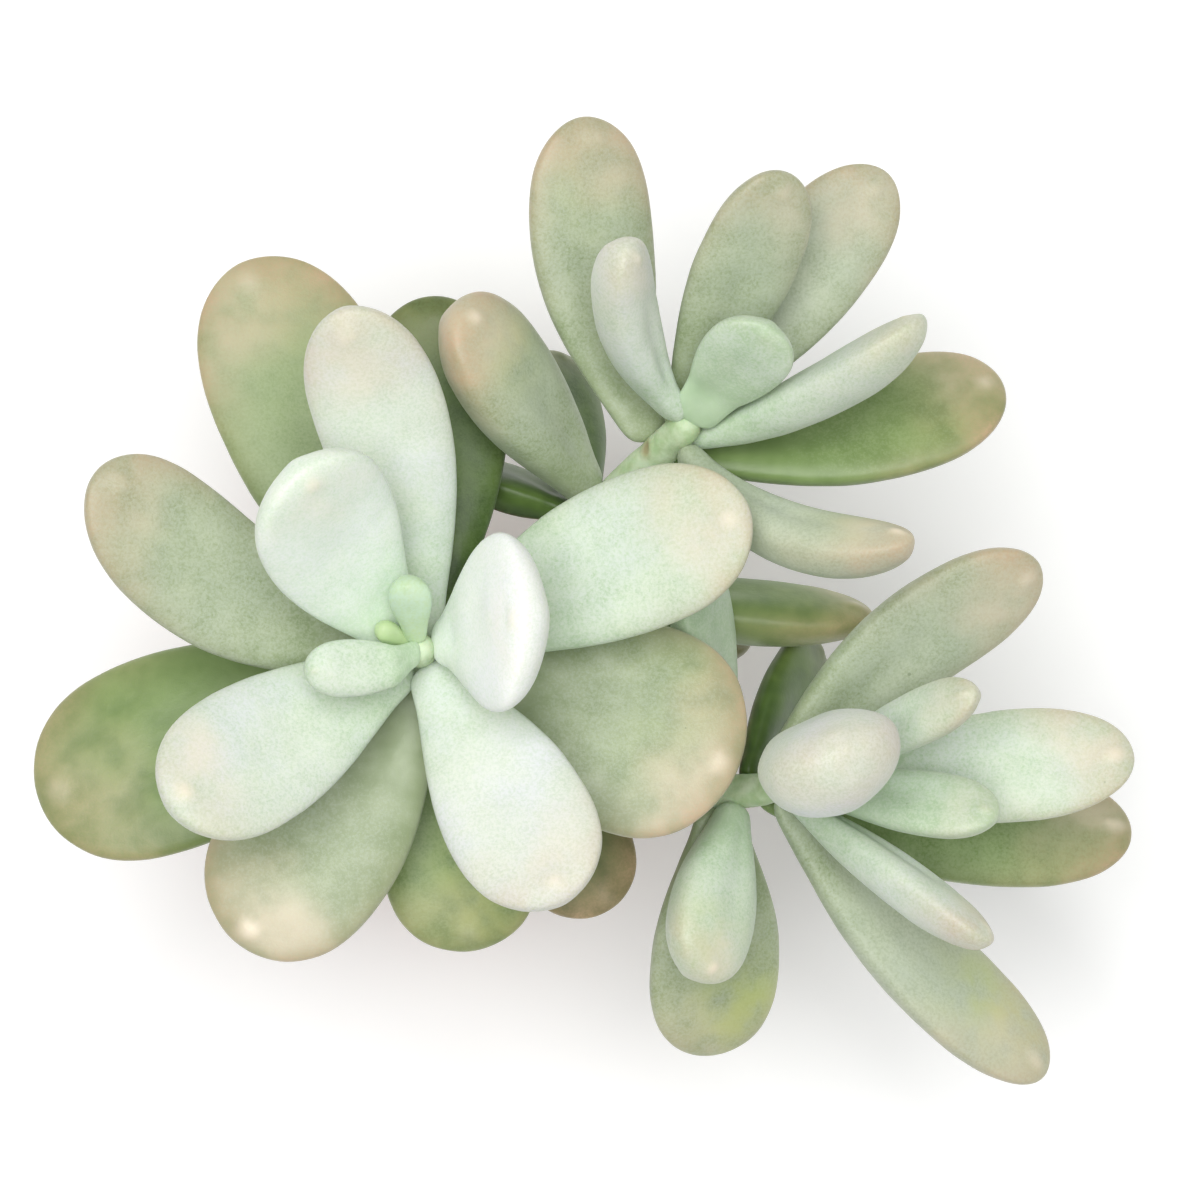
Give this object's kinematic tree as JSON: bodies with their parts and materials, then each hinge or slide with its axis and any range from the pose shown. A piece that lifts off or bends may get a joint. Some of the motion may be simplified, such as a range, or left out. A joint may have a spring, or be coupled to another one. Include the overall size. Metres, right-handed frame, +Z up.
{
  "type": "potted succulent plant",
  "caption": "Branching succulent with thick spoon-shaped leaves in rosettes, growing in a tapered clay pot with a rim band.",
  "frame": {"origin": "centre of the pot's underside", "axes": "+Z up out of the pot; +X towards the side the two branches lean to, which is the longest way across"},
  "size_m": [0.2022, 0.1753, 0.1562],
  "materials": {
    "leaf": "satin",
    "stem": "satin",
    "soil": "matte",
    "pot": "matte"
  },
  "bodies": {
    "root": {"lower_leaf_01": "leaf", "lower_leaf_02": "leaf", "lower_leaf_03": "leaf", "lower_leaf_04": "leaf", "lower_leaf_05": "leaf", "lower_leaf_06": "leaf", "lower_leaf_07": "leaf", "lower_leaf_08": "leaf", "lower_leaf_09": "leaf", "lower_leaf_10": "leaf", "lower_leaf_11": "leaf", "lower_leaf_12": "leaf", "main_leaf_01": "leaf", "main_leaf_02": "leaf", "main_leaf_03": "leaf", "main_leaf_04": "leaf", "main_leaf_05": "leaf", "main_leaf_06": "leaf", "main_leaf_07": "leaf", "main_leaf_08": "leaf", "main_leaf_09": "leaf", "main_leaf_10": "leaf", "main_leaf_11": "leaf", "main_leaf_12": "leaf", "main_leaf_13": "leaf", "main_leaf_14": "leaf", "main_leaf_15": "leaf", "main_leaf_16": "leaf", "main_leaf_17": "leaf", "pot": "pot", "soil": "soil", "stem": "stem", "upper_leaf_01": "leaf", "upper_leaf_02": "leaf", "upper_leaf_03": "leaf", "upper_leaf_04": "leaf", "upper_leaf_05": "leaf", "upper_leaf_06": "leaf", "upper_leaf_07": "leaf", "upper_leaf_08": "leaf", "upper_leaf_09": "leaf", "upper_leaf_10": "leaf", "upper_leaf_11": "leaf", "upper_leaf_12": "leaf", "upper_leaf_13": "leaf"}
  },
  "joints": []
}
